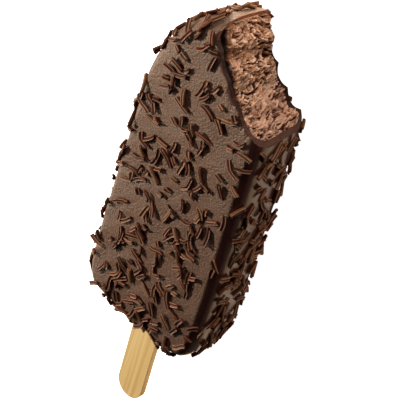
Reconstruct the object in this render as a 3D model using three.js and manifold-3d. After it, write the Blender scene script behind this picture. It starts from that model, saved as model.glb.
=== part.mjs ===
// Ice cream bar on a flat wooden stick, coated in chocolate with chocolate sprinkles, one bite taken.
//
// The bar lies on its back. X runs across it, Y from the stick to the rounded top, Z up through its
// thickness. While it is built, the stick end of the bar is at Y = 0 and its middle plane at Z = 0;
// the last lines move the finished bar onto the plane Z = 0, over the origin.
//
// Three solids: the chocolate coating, a shell with its sprinkles fused on, open at the bite and
// slotted for the stick; the ice cream inside it, with the torn face of the bite; and the stick.

import * as THREE from "three";
import { mergeVertices } from "three/addons/utils/BufferGeometryUtils.js";
import Module from "manifold-3d";

const wasm = await Module();
wasm.setup();

// ---------------------------------------------------------------------------
// Driving dimensions, in millimetres and radians
// ---------------------------------------------------------------------------

// The bar: a superellipse arch at the top, a squarer one at the stick end, straight tapered sides.
const BAR = {
  length: 100,
  width: 41.4, // half way through its thickness
  thickness: 23,
  taper: 0.062, // share of the width lost between the foot and the arch
  archLength: 28.2,
  archPower: 1.93,
  footLength: 28.8,
  footPower: 5.84,
  edgeAcross: 5, // the rounded edge at both ends, measured in the plane of the bar
  edgeSides: 3.2, // and along the sides
  edgeThrough: 6.6, // the same edge, measured through the thickness
  edgeTurn: 0.95, // most that the edge is wide, as a share of the plan's radius there
  draft: 0.006, // share of the width that it gains for each mm nearer to the front face
  aside: 1.2, // how far the middle of the bar lies off X = 0
};
const SHELL = 1.2; // thickness of the chocolate
const SHELL_SHIFT = -0.3; // how much thinner it is on the back, and thicker on the front face
const GAP = 0.3; // clearance between neighbouring solids

const STICK = {
  length: 93,
  width: 10,
  thickness: 2,
  showing: 34.6, // how far it stands out of the bar
  bevel: 0.25,
  lean: 0.0284, // turn about Z, at the point where it leaves the bar
  offset: -0.7, // that point, off the middle of the bar
};

// The bite: a shallow scoop through the top right corner with marks of teeth. It follows one arc on
// the front face and a rounder one on the back. An arc has its middle, its radius and the directions,
// in half turns, between which it runs from the top of the bar to its side. A share is of that run.
const BITE = {
  front: { x: 46.9, y: 125, radius: 55, start: 1.1, stop: 1.39 },
  back: { x: 25.6, y: 104.1, radius: 28.3, start: 0.97, stop: 1.5 },
  length: 46, // of either run, about
  tooth: { first: 0.041, share: 0.148, frontDepth: 0.5, backDepth: 1.4 },
  curl: { full: 0.17, gone: 0.28, reach: 2.5 }, // the chocolate reaches over at the top of the bar
  recess: { top: -1.2, side: 0.3, from: 0.15, to: 0.65 }, // of the ice cream behind the chocolate
  tear: { height: 1.5, across: 3.4, through: 6.5, slant: 0.2 }, // broad tears in the ice cream
  crumb: { height: 0.8, across: 1.7, through: 2.6 },
  overrun: 3, // how far the cutter reaches past both faces
};

const SPRINKLE = {
  count: 180,
  longest: 5.6,
  shortest: 3.9,
  thickness: 1.2,
  spacing: 4.6, // least distance between two middles
  sunk: 0.36, // height of the axis over the surface, as a share of the thickness
  curl: 0.1, // bow in the plane of the surface, as a share of the length
  lift: 0.3, // most that one end is raised
  sides: 5,
  biteMargin: 2.6, // clear distance from the broken edge
  stickMargin: 7.6, // and from the middle of the stick
  seed: 20,
  attempts: 30000,
};
// How thickly sprinkles lie: a share between the thin upper half and the thick lower half of the
// faces, more round the edges, clumps, and hardly any on the right front edge and beside the stick.
const COVER = { top: 0.42, foot: 0.66, edge: 0.85, bare: 0.12 };
const CLUMPS = [
  { x: -15, y: 46, reach: 6, more: 0.5 },
  { x: -13, y: 15, reach: 8, more: 0.5 },
  { x: 13, y: 38, reach: 6, more: 0.4 },
  { x: 12, y: 55, reach: 6, more: 0.3 },
  { x: 13, y: 75, reach: 5, more: 0.3 },
];

const RESTING_DEPTH = 0.72; // the undermost sprinkles are worn flat at this depth under the back

const FINISH = {
  coating: { color: 0x5c4235, roughness: 0.55, metalness: 0 },
  ice_cream: { color: 0x8a6048, roughness: 0.9, metalness: 0 },
  stick: { color: 0xd7b274, roughness: 0.75, metalness: 0 },
};

// ---------------------------------------------------------------------------
// Small tools
// ---------------------------------------------------------------------------

// A repeatable stream of numbers from 0 to 1.
function numberStream(seed) {
  let state = seed;
  return () => {
    state = (state * 1664525 + 1013904223) % 4294967296;
    return state / 4294967296;
  };
}

const mix = (a, b, t) => a + (b - a) * t;
const clamp = (t) => Math.min(1, Math.max(0, t));
const ease = (t) => t * t * (3 - 2 * t);
const rise = (from, to, t) => ease(clamp((t - from) / (to - from)));

// A smooth field of hills from 0 to 1 with one random height for each whole (u, v).
function hills(seed, columns, rows) {
  const draw = numberStream(seed);
  const heights = Array.from({ length: columns * rows }, draw);
  const at = (i, j) => heights[(j % rows) * columns + (i % columns)];
  return (u, v) => {
    const i = Math.floor(u);
    const j = Math.floor(v);
    const low = mix(at(i, j), at(i + 1, j), ease(u - i));
    const high = mix(at(i, j + 1), at(i + 1, j + 1), ease(u - i));
    return mix(low, high, ease(v - j));
  };
}

// Closes rows of points, counter-clockwise rings from low to high, into one geometry.
function closedRings(rings) {
  const columns = rings[0].length;
  const points = rings.flat();
  const middle = (ring) =>
    ring.reduce((sum, p) => sum.add(p), new THREE.Vector3()).divideScalar(columns);
  const low = points.push(middle(rings[0])) - 1;
  const high = points.push(middle(rings[rings.length - 1])) - 1;
  const top = (rings.length - 1) * columns;
  const index = [];
  for (let c = 0; c < columns; c++) {
    const d = (c + 1) % columns;
    index.push(low, d, c, high, top + c, top + d);
    for (let r = 0; r < top; r += columns) {
      index.push(r + c, r + d, r + columns + d, r + c, r + columns + d, r + columns + c);
    }
  }
  return new THREE.BufferGeometry().setFromPoints(points).setIndex(index);
}

// Turns a closed geometry into a solid that can be joined and cut.
function solid(geometry) {
  geometry.deleteAttribute("normal");
  geometry.deleteAttribute("uv");
  const merged = mergeVertices(geometry);
  return new wasm.Manifold(
    new wasm.Mesh({
      numProp: 3,
      vertProperties: new Float32Array(merged.attributes.position.array),
      triVerts: new Uint32Array(merged.index.array),
    }),
  );
}

// The largest of the separate bodies that a cut can leave.
function largestBody(manifold) {
  const volume = (body) => body.volume();
  return manifold.decompose().reduce((a, b) => (volume(b) > volume(a) ? b : a));
}

// A named mesh made from a solid.
function meshOf(name, manifold) {
  const { vertProperties, triVerts } = manifold.getMesh();
  const geometry = new THREE.BufferGeometry();
  geometry.setAttribute("position", new THREE.BufferAttribute(vertProperties, 3));
  geometry.setIndex(new THREE.BufferAttribute(triVerts, 1));
  geometry.computeVertexNormals();
  const mesh = new THREE.Mesh(geometry, new THREE.MeshStandardMaterial(FINISH[name]));
  mesh.name = name;
  return mesh;
}

// ---------------------------------------------------------------------------
// The form of the bar
// ---------------------------------------------------------------------------

// One superellipse arch: points and outward normals from one end of it to the other.
function arch(halfWidth, reach, power, baseY, side, steps) {
  return Array.from({ length: steps + 1 }, (_, i) => {
    const turn = (Math.PI * i) / steps;
    const across = Math.cos(turn);
    const along = Math.sin(turn);
    const u = Math.sign(across) * Math.abs(across) ** (2 / power);
    const v = along ** (2 / power);
    const nx = (Math.sign(u) * Math.abs(u) ** (power - 1)) / halfWidth;
    const ny = v ** (power - 1) / reach;
    const size = Math.hypot(nx, ny);
    return {
      x: side * u * halfWidth,
      y: baseY + side * v * reach,
      nx: (side * nx) / size,
      ny: (side * ny) / size,
    };
  });
}

// Gives each point of an outline the width of the rounded edge there: less along the sides, and less
// where the plan turns more tightly than the edge is wide, at the corners of the foot.
function withEdges(outline) {
  const bend = outline.map((p, i) => {
    const q = outline[(i + 1) % outline.length];
    return Math.hypot(q.nx - p.nx, q.ny - p.ny) / Math.hypot(q.x - p.x, q.y - p.y);
  });
  return outline.map((p, i) => {
    const tightest = Math.max(bend[i], bend[(i + outline.length - 1) % outline.length]);
    const width = mix(BAR.edgeAcross, BAR.edgeSides, p.nx ** 2);
    const narrowing = (1 + ((width * tightest) / BAR.edgeTurn) ** 6) ** (1 / 6);
    return { ...p, edge: width / narrowing };
  });
}

// The plan of the bar, counter-clockwise from the right end of the arch.
function barOutline(archSteps, sideSteps, footSteps) {
  const half = BAR.width / 2;
  const top = arch(half * (1 - BAR.taper), BAR.archLength, BAR.archPower,
    BAR.length - BAR.archLength, 1, archSteps);
  const foot = arch(half, BAR.footLength, BAR.footPower, BAR.footLength, -1, footSteps);
  const side = (a, b) =>
    Array.from({ length: sideSteps - 1 }, (_, i) => {
      const t = (i + 1) / sideSteps;
      const nx = b.y - a.y;
      const ny = a.x - b.x;
      const size = Math.hypot(nx, ny);
      return { x: mix(a.x, b.x, t), y: mix(a.y, b.y, t), nx: nx / size, ny: ny / size };
    });
  return withEdges([
    ...top,
    ...side(top[archSteps], foot[0]),
    ...foot,
    ...side(foot[footSteps], top[0]),
  ]);
}

// A point of the straight-sided bar, moved to where it lies on the bar that widens to its front.
const drafted = (p) => new THREE.Vector3(p.x * (1 + BAR.draft * p.z) + BAR.aside, p.y, p.z);

// The whole bar, unbitten, as deep inside the surface as the inset says.
function barSolid(inset, outline, edgeSteps) {
  const shoulder = BAR.thickness / 2 - BAR.edgeThrough;
  const ring = (step, scale) => {
    const turn = (Math.PI / 2) * (step / edgeSteps);
    const height = shoulder + (BAR.edgeThrough - inset) * Math.sin(turn);
    return outline.map((q) => {
      const inwards = inset + (q.edge - inset) * (1 - Math.cos(turn));
      const x = (q.x - q.nx * inwards) * scale;
      const y = mix(BAR.length / 2, q.y - q.ny * inwards, scale);
      return new THREE.Vector3(x, y, height);
    });
  };
  const upper = [];
  for (let step = 0; step <= edgeSteps; step++) upper.push(ring(step, 1));
  upper.push(ring(edgeSteps, 2 / 3), ring(edgeSteps, 1 / 3));
  const flipped = upper.map((row) => row.map((p) => new THREE.Vector3(p.x, p.y, -p.z)));
  const rings = [...flipped.reverse(), ...upper];
  return solid(closedRings(rings.map((row) => row.map(drafted))));
}

// ---------------------------------------------------------------------------
// The bite
// ---------------------------------------------------------------------------

// The arc at a height, between the one on the front face and the one on the back.
function biteArc(height) {
  const t = 0.5 - height / BAR.thickness;
  const between = (name) => mix(BITE.front[name], BITE.back[name], t);
  return {
    x: between("x"),
    y: between("y"),
    radius: between("radius"),
    start: between("start"),
    stop: between("stop"),
  };
}

// How far beyond its arc the bite reaches into the chocolate, at a share of its run and a height.
function toothReach(share, height) {
  const t = clamp(0.5 - height / BAR.thickness);
  const { first, share: width, frontDepth, backDepth } = BITE.tooth;
  const mark = Math.abs(Math.sin((Math.PI * (share - first)) / width)) - 2 / Math.PI;
  const curled = 1 - rise(BITE.curl.full, BITE.curl.gone, share);
  return mix(frontDepth, backDepth, t) * mark - BITE.curl.reach * (1 - t ** 4) * curled;
}

// The scoop as a solid: plain for the chocolate, torn for the ice cream.
function biteSolid(levels, bars, reach) {
  const limit = BAR.thickness / 2 + BITE.overrun;
  const farSteps = 12;
  const rings = Array.from({ length: levels + 1 }, (_, j) => {
    const height = mix(-limit, limit, j / levels);
    const { x, y, radius, start, stop } = biteArc(height);
    const at = (turn, r) =>
      new THREE.Vector3(x + r * Math.cos(Math.PI * turn), y + r * Math.sin(Math.PI * turn), height);
    const ring = [];
    for (let i = 0; i <= bars; i++) {
      ring.push(at(mix(start, stop, i / bars), radius + reach(i / bars, height)));
    }
    for (let i = 1; i < farSteps; i++) ring.push(at(mix(stop, start + 2, i / farSteps), radius));
    return ring;
  });
  return solid(closedRings(rings));
}

// Tears run through the thickness, so the hills are long that way and short along the scoop.
const tears = hills(5, 12, 8);
const crumbs = hills(9, 31, 17);
function tornReach(share, height) {
  const along = share * BITE.length;
  const deep = height + BAR.thickness;
  const { tear, crumb, recess } = BITE;
  const broad = tears((along + tear.slant * deep) / tear.across, deep / tear.through) - 0.5;
  const small = crumbs(along / crumb.across, deep / crumb.through) - 0.5;
  const behind = mix(recess.top, recess.side, rise(recess.from, recess.to, share));
  return toothReach(share, height) + behind + tear.height * broad + crumb.height * small;
}

// ---------------------------------------------------------------------------
// The stick
// ---------------------------------------------------------------------------

// A flat strip with round ends, standing out of the foot of the bar.
function stickGeometry(clearance) {
  const half = STICK.width / 2 - STICK.bevel + clearance;
  const depth = STICK.thickness - 2 * STICK.bevel + 2 * clearance;
  const low = STICK.width / 2 - STICK.showing;
  const high = low + STICK.length - STICK.width;
  const plan = new THREE.Shape();
  plan.absarc(0, low, half, Math.PI, 2 * Math.PI);
  plan.absarc(0, high, half, 0, Math.PI);
  plan.closePath();
  const strip = new THREE.ExtrudeGeometry(plan, {
    depth,
    curveSegments: 10,
    bevelSize: STICK.bevel,
    bevelThickness: STICK.bevel,
    bevelSegments: 1,
  });
  strip.translate(0, 0, -depth / 2);
  strip.rotateZ(STICK.lean);
  return strip.translate(STICK.offset, 0, 0);
}

// ---------------------------------------------------------------------------
// The sprinkles
// ---------------------------------------------------------------------------

const OUTLINE = barOutline(22, 6, 18);
const SIDE_HEIGHT = BAR.thickness - 2 * BAR.edgeThrough;
const EDGE_ARC = (Math.PI / 4) * (BAR.edgeAcross + BAR.edgeThrough);
const WRAP = SIDE_HEIGHT + 2 * EDGE_ARC; // from the front face to the back, round the side

// Running length of the outline up to each of its points, and its whole length.
const RUN = [0];
OUTLINE.forEach((p, i) => {
  const q = OUTLINE[(i + 1) % OUTLINE.length];
  RUN.push(RUN[i] + Math.hypot(q.x - p.x, q.y - p.y));
});
const GIRTH = RUN[OUTLINE.length];
const SIDE_AREA = GIRTH * WRAP;
const FACE_AREA = (BAR.width - 2 * BAR.edgeAcross) * (BAR.length - 2 * BAR.edgeAcross);
const SIDE_SHARE = SIDE_AREA / (SIDE_AREA + 2 * FACE_AREA);

// How far a point of the plan lies inside the outline, which is convex.
const edgeDistance = (x, y) =>
  Math.min(...OUTLINE.map((q) => (q.x - x) * q.nx + (q.y - y) * q.ny));

// A point of the side: so far along the outline, so far round from the front face to the back.
function sideSpot(along, round) {
  const i = RUN.findIndex((run) => run > along) - 1;
  const t = (along - RUN[i]) / (RUN[i + 1] - RUN[i]);
  const p = OUTLINE[i];
  const q = OUTLINE[(i + 1) % OUTLINE.length];
  const shoulder = SIDE_HEIGHT / 2;
  const past = Math.abs(round - WRAP / 2) - shoulder; // how far onto the rounded edge
  const turn = Math.max(0, past / EDGE_ARC) * (Math.PI / 2);
  const face = Math.sign(WRAP / 2 - round);
  const edge = mix(p.edge, q.edge, t);
  const inwards = edge * (1 - Math.cos(turn));
  const flat = new THREE.Vector2(mix(p.nx, q.nx, t), mix(p.ny, q.ny, t)).normalize();
  const onEdge = face * (shoulder + BAR.edgeThrough * Math.sin(turn));
  return {
    point: new THREE.Vector3(
      mix(p.x, q.x, t) - flat.x * inwards,
      mix(p.y, q.y, t) - flat.y * inwards,
      past > 0 ? onEdge : WRAP / 2 - round,
    ),
    normal: new THREE.Vector3(
      (flat.x * Math.cos(turn)) / edge,
      (flat.y * Math.cos(turn)) / edge,
      (face * Math.sin(turn)) / BAR.edgeThrough,
    ).normalize(),
  };
}

// A point of the surface from three numbers between 0 and 1, or nothing where they miss the bar.
function straightSpot(pick, a, b) {
  if (pick < SIDE_SHARE) return sideSpot(a * GIRTH, b * WRAP);
  const x = (a - 0.5) * (BAR.width - 2 * BAR.edgeAcross);
  const y = mix(BAR.edgeAcross, BAR.length - BAR.edgeAcross, b);
  if (edgeDistance(x, y) < BAR.edgeAcross) return null;
  const face = pick < (1 + SIDE_SHARE) / 2 ? 1 : -1;
  return {
    point: new THREE.Vector3(x, y, (face * BAR.thickness) / 2),
    normal: new THREE.Vector3(0, 0, face),
  };
}

// The same on the bar that widens to its front.
function surfaceSpot(pick, a, b) {
  const spot = straightSpot(pick, a, b);
  if (!spot) return null;
  const { point, normal } = spot;
  const nx = normal.x / (1 + BAR.draft * point.z);
  const leaning = new THREE.Vector3(nx, normal.y, normal.z - BAR.draft * point.x * nx);
  return { point: drafted(point), normal: leaning.normalize() };
}

// The chance, from 0 to 1, that a sprinkle stays where it falls.
function cover({ point, normal }) {
  const bareEdge = normal.x > 0.5 && normal.z > 0.15 && point.y < 0.75 * BAR.length;
  const bareFoot = normal.y < -0.5 && point.x < 4;
  if (bareEdge || bareFoot) return COVER.bare;
  if (Math.abs(normal.z) < 0.8) return COVER.edge;
  const clumps = CLUMPS.map(({ x, y, reach, more }) => {
    const away = Math.hypot(point.x - x, point.y - y) / reach;
    return more * Math.exp(-away * away);
  });
  const even = mix(COVER.foot, COVER.top, point.y / BAR.length);
  return clumps.reduce((sum, more) => sum + more, even);
}

function clearOfBite(point) {
  const { x, y, radius } = biteArc(point.z);
  return Math.hypot(point.x - x, point.y - y) > radius + SPRINKLE.biteMargin;
}

const clearOfStick = (point) =>
  point.y > BAR.edgeAcross || Math.hypot(point.x - STICK.offset, point.z) > SPRINKLE.stickMargin;

// A short rod, bowed sideways, along X with its middle at the origin.
function rod(length, curl) {
  const end = length / 2;
  const section = new THREE.Shape();
  for (let i = 0; i < SPRINKLE.sides; i++) {
    const turn = (2 * Math.PI * i) / SPRINKLE.sides;
    const radius = SPRINKLE.thickness / 2;
    section[i ? "lineTo" : "moveTo"](radius * Math.cos(turn), radius * Math.sin(turn));
  }
  const path = new THREE.QuadraticBezierCurve3(
    new THREE.Vector3(-end, 0, 0),
    new THREE.Vector3(0, curl * length * 2, 0),
    new THREE.Vector3(end, 0, 0),
  );
  const made = new THREE.ExtrudeGeometry(section, { steps: 2, extrudePath: path });
  return made.translate(0, -curl * length * 0.67, 0);
}

// Lays a rod on the surface, heading any way along it and with one end a little raised.
function layRod(spot, { length, curl, heading, lift }) {
  const up = spot.normal;
  const level = Math.abs(up.z) > 0.9 ? new THREE.Vector3(1, 0, 0) : new THREE.Vector3(0, 0, 1);
  const along = level.cross(up).normalize().applyAxisAngle(up, heading);
  const across = new THREE.Vector3().crossVectors(up, along);
  const middle = spot.point.clone().addScaledVector(up, SPRINKLE.sunk * SPRINKLE.thickness);
  const placed = new THREE.Matrix4().makeBasis(along, across, up).setPosition(middle);
  const tilt = new THREE.Matrix4().makeRotationY(lift);
  return rod(length, curl).applyMatrix4(placed.multiply(tilt));
}

// Throws sprinkles at the bar until enough of them lie clear of each other.
function sprinkles() {
  const draw = numberStream(SPRINKLE.seed);
  const laid = [];
  for (let i = 0; i < SPRINKLE.attempts && laid.length < SPRINKLE.count; i++) {
    const spot = surfaceSpot(draw(), draw(), draw());
    const luck = draw();
    const shape = {
      length: mix(SPRINKLE.longest, SPRINKLE.shortest, draw()),
      curl: mix(-SPRINKLE.curl, SPRINKLE.curl, draw()),
      heading: draw() * Math.PI,
      lift: mix(-SPRINKLE.lift, SPRINKLE.lift, draw()),
    };
    if (!spot || luck > cover(spot)) continue;
    if (!clearOfBite(spot.point) || !clearOfStick(spot.point)) continue;
    const crowded = laid.some((other) => other.point.distanceTo(spot.point) < SPRINKLE.spacing);
    if (!crowded) laid.push({ point: spot.point, geometry: layRod(spot, shape) });
  }
  return laid.map(({ geometry }) => solid(geometry));
}

// ---------------------------------------------------------------------------
// The three solids
// ---------------------------------------------------------------------------

function tableTop() {
  const depth = 10;
  const slab = new THREE.BoxGeometry(2 * BAR.length, 3 * BAR.length, depth);
  return solid(slab.translate(0, 0, -BAR.thickness / 2 - RESTING_DEPTH - depth / 2));
}

function coatingSolid() {
  const coarse = barOutline(18, 3, 14);
  const inner = barSolid(SHELL, barOutline(14, 2, 12), 3).translate([0, 0, SHELL_SHIFT]);
  let made = barSolid(0, coarse, 4);
  for (const sprinkle of sprinkles()) made = made.add(sprinkle);
  made = made.subtract(inner);
  made = made.subtract(biteSolid(6, 44, toothReach));
  made = made.subtract(solid(stickGeometry(GAP)));
  return largestBody(made.subtract(tableTop()));
}

function iceCreamSolid() {
  const block = barSolid(SHELL + GAP, barOutline(14, 2, 12), 3).translate([0, 0, SHELL_SHIFT]);
  const scooped = block.subtract(biteSolid(22, 30, tornReach));
  return largestBody(scooped.subtract(solid(stickGeometry(GAP))));
}

const bar = new THREE.Group();
bar.name = "ice_cream_bar";
bar.add(meshOf("coating", coatingSolid()));
bar.add(meshOf("ice_cream", iceCreamSolid()));
bar.add(meshOf("stick", solid(stickGeometry(0))));

// The origin goes under the middle of the whole, on the surface that it lies on.
const extent = new THREE.Box3().setFromObject(bar);
const middle = extent.getCenter(new THREE.Vector3());
bar.children.forEach((mesh) => mesh.position.set(-middle.x, -middle.y, -extent.min.z));

export default bar;
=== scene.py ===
import math

import bpy
import numpy as np
from mathutils import Matrix, Vector, noise


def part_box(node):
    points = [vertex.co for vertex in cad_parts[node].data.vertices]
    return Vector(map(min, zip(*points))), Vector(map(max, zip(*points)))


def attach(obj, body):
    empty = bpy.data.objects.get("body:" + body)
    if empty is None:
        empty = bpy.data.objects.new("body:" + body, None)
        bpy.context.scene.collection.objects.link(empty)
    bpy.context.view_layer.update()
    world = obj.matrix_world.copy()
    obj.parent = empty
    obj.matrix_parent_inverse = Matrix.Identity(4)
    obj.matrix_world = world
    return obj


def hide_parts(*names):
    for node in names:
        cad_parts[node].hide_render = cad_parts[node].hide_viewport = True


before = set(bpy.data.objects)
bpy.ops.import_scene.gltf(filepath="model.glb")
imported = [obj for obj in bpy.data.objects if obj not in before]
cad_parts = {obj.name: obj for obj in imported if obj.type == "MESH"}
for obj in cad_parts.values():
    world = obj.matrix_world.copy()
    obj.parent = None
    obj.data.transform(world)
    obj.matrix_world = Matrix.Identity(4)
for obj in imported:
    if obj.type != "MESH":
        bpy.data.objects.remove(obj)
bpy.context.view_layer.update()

# An ice cream bar on its back: a pebbled chocolate shell under chocolate sprinkles, torn chocolate
# ice cream where it was bitten, and a flat birch stick.
#
# Everything is modelled in millimetres, with the stick end of the bar at Y = 0 and its middle plane
# at Z = 0, and settle() then moves each finished mesh into the frame, in metres.

# ------------------------------------------------------------------ sizes, in mm and radians

BAR_LENGTH = 100.0
BAR_WIDTH = 41.4         # half way through its thickness
BAR_THICKNESS = 23.0
TAPER = 0.062            # share of the width lost between the foot and the arch
ARCH_LENGTH = 28.2
ARCH_POWER = 1.93
FOOT_LENGTH = 28.8
FOOT_POWER = 5.84
EDGE_ACROSS = 5.0        # the rounded edge at both ends, in the plane of the bar
EDGE_SIDES = 3.2         # and along the sides
EDGE_THROUGH = 6.6       # and through its thickness
EDGE_TURN = 0.95         # most that the edge is wide, as a share of the plan's radius there
DRAFT = 0.006            # share of the width that it gains for each mm nearer to the front face
ASIDE = 1.2              # how far the middle of the bar lies off X = 0
SHOULDER = BAR_THICKNESS / 2 - EDGE_THROUGH
SHELL = 1.2              # thickness of the chocolate
SHELL_SHIFT = -0.3       # how much nearer the ice cream lies to the front face than to the back
SLIP = 0.04              # clearance between shell, ice cream and stick

STICK_LENGTH = 93.0
STICK_WIDTH = 10.0
STICK_THICKNESS = 2.0
STICK_SHOWING = 34.6     # how far it stands out of the bar
STICK_LEAN = 0.0284      # turn about Z, at the point where it leaves the bar
STICK_OFFSET = -0.7      # that point, off the middle of the bar
STICK_ROUNDING = 0.2     # of its edges

# The bite follows one arc on the front face and another on the back: middle, radius and the
# directions, in half turns, between which it runs from the top of the bar to its side.
BITE_FRONT = {"x": 46.9, "y": 125.0, "radius": 55.0, "start": 1.10, "stop": 1.39}
BITE_BACK = {"x": 25.6, "y": 104.1, "radius": 28.3, "start": 0.97, "stop": 1.50}
BITE_LENGTH = 46.0       # along either arc, about
TOOTH_SHARE = 0.148      # width of one tooth, of that length
TOOTH_START = 0.041
TOOTH_DEPTH_FRONT = 0.5
TOOTH_DEPTH_BACK = 1.4
BITE_CURL = 2.5          # how far the shell still reaches over at the top of the bar
CURL_SHARES = (0.17, 0.28)      # of the bite, between which that comes to an end
RECESS_TOP = -1.2        # how far the ice cream lies behind the broken shell, at the top
RECESS_SIDE = 0.3        # and at the side
RECESS_SHARES = (0.15, 0.65)    # of the bite, between which one becomes the other
RAGGEDNESS = 0.16        # of the broken edge of the shell
TEAR = {"height": 1.5, "across": 3.4, "through": 6.5, "slant": 0.2}
CRUMB = {"height": 0.8, "across": 1.7, "through": 2.6}
GRAIN_DEPTH = 0.8        # of the fine relief of the torn ice cream: its grains,
FOLD_DEPTH = 0.6         # its torn folds
CREASE_DEPTH = 1.5       # and its broken creases
LEDGE_SPACING = 2.6
LEDGE_HEIGHT = 0.55
HOLLOWS = (              # share of the bite, height, reach along and through it, depth
    (0.235, 4.6, 0.9, 2.0, 1.1),
    (0.395, -2.0, 0.6, 2.6, 1.3),
    (0.475, -4.0, 0.6, 1.6, 1.2),
    (0.50, -1.5, 0.5, 2.6, 1.0),
    (0.60, -2.8, 0.9, 1.4, 1.2),
    (0.635, -4.3, 0.8, 1.6, 1.2),
    (0.70, -3.0, 1.6, 0.8, 1.2),
    (0.75, -1.8, 1.6, 0.9, 1.2),
)
MELT_HEIGHT = 7.4        # middle of the melted strip along the front of the torn face
MELT_REACH = 0.65        # and how far it spreads to either side
MELT_LEVEL = -0.5        # depth of the smooth melted surface
GAP_DEPTH = 6.0          # of the shaded gap between the shell and the ice cream

SPRINKLE_SEED = 20
LARGE_SPRINKLES = 180
ALL_SPRINKLES = 750
SPRINKLE_THICKNESS = 1.2
SPRINKLE_ATTEMPTS = 60000
LARGE_LENGTHS = (5.6, 3.9)
SMALL_LENGTHS = (4.4, 1.6)
LARGE_ROOM = (2.6, 4.6)         # least distance from the bite, and between two middles
SMALL_ROOM = (1.2, 1.5)
TOP_ROOM = (0.8, 1.3)           # the same for small ones on the top end
TOP_END = BAR_LENGTH - 9        # where that end starts
STICK_ROOM = 7.6                # bare distance round the stick
CROWDED = 3.2                   # a small one nearer than this to another is raised
RAISED = 0.45                   # by up to so much
SUNK = 0.42                     # height of the axis over the surface, as a share of the thickness
BOW = 0.1                       # most that a sprinkle is bowed, as a share of its length
LIFT = 0.3                      # most that one end is raised, as a turn
RESTING_DEPTH = 0.7      # the undermost sprinkles are worn flat at this depth under the back
KEEL = 0.5               # most that a sprinkle is rolled to either side
KINKED = 0.25            # share of them

# The section of a sprinkle: turns off the top of a round rod, in degrees, the turns that they move
# to, and how light the crest is painted there, a painted highlight on the groove's rims. The radii belong
# to turns of their own.
ROD_TURNS = (0, 22.5, 45, 67.5, 90, 180)
FLAKE_TURNS = (0, 34, 46, 58, 84, 180)
FLAKE_CREST_HIGHLIGHT = (0.0, 0.0, 1.0, 0.25, 0.0, 0.0)
RADII_TURNS = (0, 22.5, 45, 67.5, 112.5, 180)
FLAKE_RADII = (0.4, 0.78, 1.16, 1.12, 0.95, 0.8)

STICK_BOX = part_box("stick")
FLOOR_SPAN = 6.0         # metres


def bar_origin():
    """Where the middle of the bar's foot lies in the frame, found from the box of the stick."""
    low, high = STICK_BOX
    first = STICK_WIDTH / 2 - STICK_SHOWING
    last = first + STICK_LENGTH - STICK_WIDTH
    across = STICK_OFFSET - math.sin(STICK_LEAN) * (first + last) / 2
    tip = first * math.cos(STICK_LEAN) - STICK_WIDTH / 2
    return Vector(((low.x + high.x) / 2 - across / 1000, low.y - tip / 1000, (low.z + high.z) / 2))


ORIGIN = bar_origin()

# ------------------------------------------------------------------ small tools


def number_stream(seed):
    """A repeatable stream of numbers from 0 to 1."""
    state = seed
    while True:
        state = (state * 1664525 + 1013904223) % 4294967296
        yield state / 4294967296


def mix(a, b, t):
    return a + (b - a) * t


def clamp(t):
    return min(1.0, max(0.0, t))


def ease(t):
    return t * t * (3 - 2 * t)


def rise(start, stop, t):
    return ease(clamp((t - start) / (stop - start)))


def hills(seed, columns, rows):
    """A smooth field of hills from 0 to 1, one random height at each whole (u, v)."""
    stream = number_stream(seed)
    heights = [next(stream) for _ in range(columns * rows)]

    def height(u, v):
        i, j = math.floor(u), math.floor(v)
        row, above = (j % rows) * columns, ((j + 1) % rows) * columns
        low = mix(heights[row + i % columns], heights[row + (i + 1) % columns], ease(u - i))
        high = mix(heights[above + i % columns], heights[above + (i + 1) % columns], ease(u - i))
        return mix(low, high, ease(v - j))

    return height


def active():
    return bpy.context.view_layer.objects.active


def deselect_all():
    if bpy.context.object and bpy.context.object.mode != "OBJECT":
        bpy.ops.object.mode_set(mode="OBJECT")
    bpy.ops.object.select_all(action="DESELECT")


def pick(piece):
    deselect_all()
    piece.select_set(True)
    bpy.context.view_layer.objects.active = piece


def edit(piece):
    pick(piece)
    bpy.ops.object.mode_set(mode="EDIT")
    bpy.ops.mesh.select_all(action="DESELECT")


def done():
    bpy.ops.object.mode_set(mode="OBJECT")


def select_faces(piece, wanted):
    """In edit mode, selects the faces for which wanted(centre, normal) holds."""
    bpy.ops.mesh.select_mode(type="FACE")
    bpy.ops.object.mode_set(mode="OBJECT")
    for face in piece.data.polygons:
        face.select = wanted(face.center, face.normal)
    bpy.ops.object.mode_set(mode="EDIT")


def modify(piece, kind, **settings):
    """Adds a modifier and applies it."""
    pick(piece)
    modifier = piece.modifiers.new(kind.lower(), kind)
    for name, value in settings.items():
        setattr(modifier, name, value)
    bpy.ops.object.modifier_apply(modifier=modifier.name)


def cut(piece, tool):
    modify(piece, "BOOLEAN", operation="DIFFERENCE", solver="MANIFOLD", object=tool)
    bpy.data.objects.remove(tool)


def settle(piece, name, materials, slot, *nodes, marks=None):
    """Moves a finished mesh into the frame, in metres, and says what it is."""
    piece.name = name
    piece.data.name = name
    piece.data.materials.clear()
    for material in materials:
        piece.data.materials.append(material)
    if marks:
        marks(piece)
    piece.data.transform(Matrix.Translation(ORIGIN) @ Matrix.Scale(0.001, 4))
    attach(piece, "root")
    if nodes:
        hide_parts(*nodes)
    return piece


# ------------------------------------------------------------------ the form of the bar


def arch(half_width, reach, power, base_y, side, steps):
    """One superellipse arch: rows of x, y and outward normal."""
    turn = np.linspace(0, math.pi, steps + 1)
    across, along = np.cos(turn), np.clip(np.sin(turn), 0, 1)
    u = np.sign(across) * np.abs(across) ** (2 / power)
    v = along ** (2 / power)
    nx = np.sign(u) * np.abs(u) ** (power - 1) / half_width
    ny = v ** (power - 1) / reach
    size = np.hypot(nx, ny)
    return np.column_stack([
        side * u * half_width, base_y + side * v * reach, side * nx / size, side * ny / size
    ])


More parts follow.
